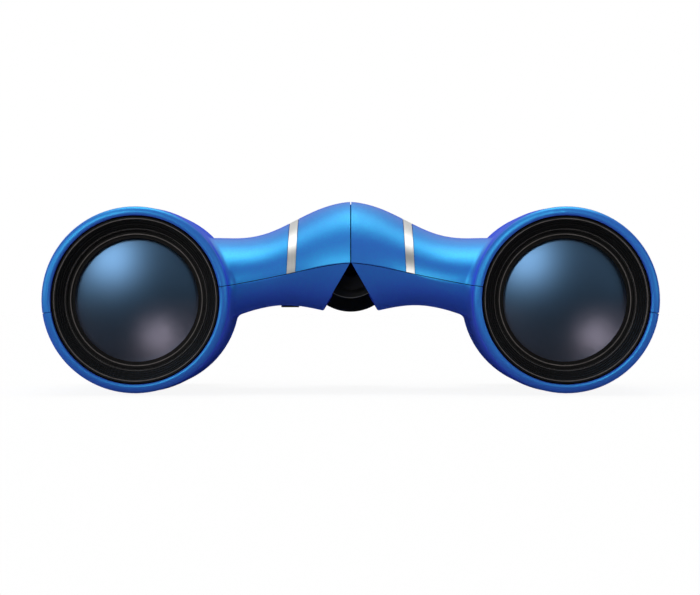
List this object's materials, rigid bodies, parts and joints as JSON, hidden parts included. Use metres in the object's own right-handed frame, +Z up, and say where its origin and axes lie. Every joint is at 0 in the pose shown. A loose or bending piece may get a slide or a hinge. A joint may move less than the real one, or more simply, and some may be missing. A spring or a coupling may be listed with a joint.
{
  "type": "folding binoculars",
  "caption": "Compact roof-prism binoculars that fold about one central hinge, with a focus wheel, a diopter ring and turn-up eyecups.",
  "frame": {"origin": "on the floor under the middle of the part, which lies on the bellies of its two barrels with the hinge fully open", "axes": "+X across the barrels towards the user's left barrel, -Y the way the objectives look, +Z up"},
  "size_m": [0.1108, 0.087, 0.0327],
  "materials": {
    "blue_lacquer": "pearl metallic blue lacquer under a clear coat",
    "silver_trim": "satin silver",
    "black_frame": "fine matt black",
    "black_anodised": "black anodised, turned grooves",
    "coated_glass": "polished, blue and magenta multilayer coating",
    "prism_glass": "polished",
    "steel": "turned and burnished",
    "black_steel": "blackened",
    "brass": "turned",
    "black_rubber": "fine-grained soft rubber"
  },
  "bodies": {
    "right_half": {"right_frame": "black_frame", "right_upper_cover": "blue_lacquer", "right_lower_cover": "blue_lacquer", "right_trim_strip": "silver_trim", "right_front_ring": "black_anodised", "right_prism_holder": "black_frame", "right_front_prism": "prism_glass", "right_roof_prism": "prism_glass", "right_strap_lug": "black_frame", "right_cover_screws": "black_steel", "hinge_axle": "steel", "hinge_nut": "steel", "friction_washer": "steel", "wheel_clip": "steel"},
    "left_half": {"left_frame": "black_frame", "left_upper_cover": "blue_lacquer", "left_lower_cover": "blue_lacquer", "left_trim_strip": "silver_trim", "left_front_ring": "black_anodised", "left_prism_holder": "black_frame", "left_front_prism": "prism_glass", "left_roof_prism": "prism_glass", "left_strap_lug": "black_frame", "left_cover_screws": "black_steel", "left_ocular_tube": "black_anodised", "left_field_stop": "black_anodised", "left_field_lens": "coated_glass", "left_eye_lens": "coated_glass", "left_eye_retainer": "black_anodised", "left_eyepiece_collar": "black_rubber"},
    "focus_wheel": {"focus_wheel_core": "black_frame", "focus_wheel_grip": "black_rubber", "focus_wheel_cap": "black_frame", "focus_screw": "brass"},
    "focus_nut": {"focus_nut": "brass"},
    "right_objective": {"right_objective_cell": "black_anodised", "right_crown_lens": "coated_glass", "right_flint_lens": "coated_glass", "right_objective_retainer": "black_anodised", "right_focus_arm": "steel"},
    "left_objective": {"left_objective_cell": "black_anodised", "left_crown_lens": "coated_glass", "left_flint_lens": "coated_glass", "left_objective_retainer": "black_anodised", "left_focus_arm": "steel"},
    "diopter_ring": {"right_diopter_ring": "black_rubber"},
    "right_ocular": {"right_ocular_tube": "black_anodised", "right_field_stop": "black_anodised", "right_field_lens": "coated_glass", "right_eye_lens": "coated_glass", "right_eye_retainer": "black_anodised"},
    "right_eyecup_slider": {"right_eyecup_guide": "black_frame"},
    "right_eyecup_turner": {"right_eyecup": "black_rubber"},
    "left_eyecup_slider": {"left_eyecup_guide": "black_frame"},
    "left_eyecup_turner": {"left_eyecup": "black_rubber"}
  },
  "joints": [
    {"name": "fold_hinge", "type": "hinge", "parent": "right_half", "child": "left_half", "pos_m": [0, 0, 0.0222], "axis": [0, 1, 0], "range_deg": [0, 60]},
    {"name": "focus_wheel_turn", "type": "hinge", "parent": "right_half", "child": "focus_wheel", "pos_m": [0, 0, 0.0222], "axis": [0, 1, 0], "range_deg": [-60, 300]},
    {"name": "focus_nut_slide", "type": "slide", "parent": "right_half", "child": "focus_nut", "axis": [0, -1, 0], "range_m": [-0.0004, 0.002]},
    {"name": "right_objective_slide", "type": "slide", "parent": "right_half", "child": "right_objective", "axis": [0, -1, 0], "range_m": [-0.0004, 0.002]},
    {"name": "left_objective_slide", "type": "slide", "parent": "left_half", "child": "left_objective", "axis": [0, -1, 0], "range_m": [-0.0004, 0.002]},
    {"name": "diopter_turn", "type": "hinge", "parent": "right_half", "child": "diopter_ring", "pos_m": [-0.036, 0, 0.0159], "axis": [0, 1, 0], "range_deg": [-45, 45]},
    {"name": "right_ocular_slide", "type": "slide", "parent": "right_half", "child": "right_ocular", "axis": [0, 1, 0], "range_m": [-0.0007, 0.0007]},
    {"name": "right_eyecup_rise", "type": "slide", "parent": "right_ocular", "child": "right_eyecup_slider", "axis": [0, 1, 0], "range_m": [0, 0.0055]},
    {"name": "right_eyecup_turn", "type": "hinge", "parent": "right_eyecup_slider", "child": "right_eyecup_turner", "pos_m": [-0.036, 0, 0.0159], "axis": [0, 1, 0], "range_deg": [0, 100]},
    {"name": "left_eyecup_rise", "type": "slide", "parent": "left_half", "child": "left_eyecup_slider", "axis": [0, 1, 0], "range_m": [0, 0.0055]},
    {"name": "left_eyecup_turn", "type": "hinge", "parent": "left_eyecup_slider", "child": "left_eyecup_turner", "pos_m": [0.036, 0, 0.0159], "axis": [0, 1, 0], "range_deg": [0, 100]}
  ],
  "couplings": [
    {"joint": "focus_wheel_turn", "follows": "right_objective_slide", "rad_per_m": 2618},
    {"joint": "focus_nut_slide", "follows": "right_objective_slide", "ratio": 1},
    {"joint": "left_objective_slide", "follows": "right_objective_slide", "ratio": 1},
    {"joint": "diopter_turn", "follows": "right_ocular_slide", "rad_per_m": 1122},
    {"joint": "right_eyecup_turn", "follows": "right_eyecup_rise", "rad_per_m": 317.33},
    {"joint": "left_eyecup_turn", "follows": "left_eyecup_rise", "rad_per_m": 317.33}
  ]
}
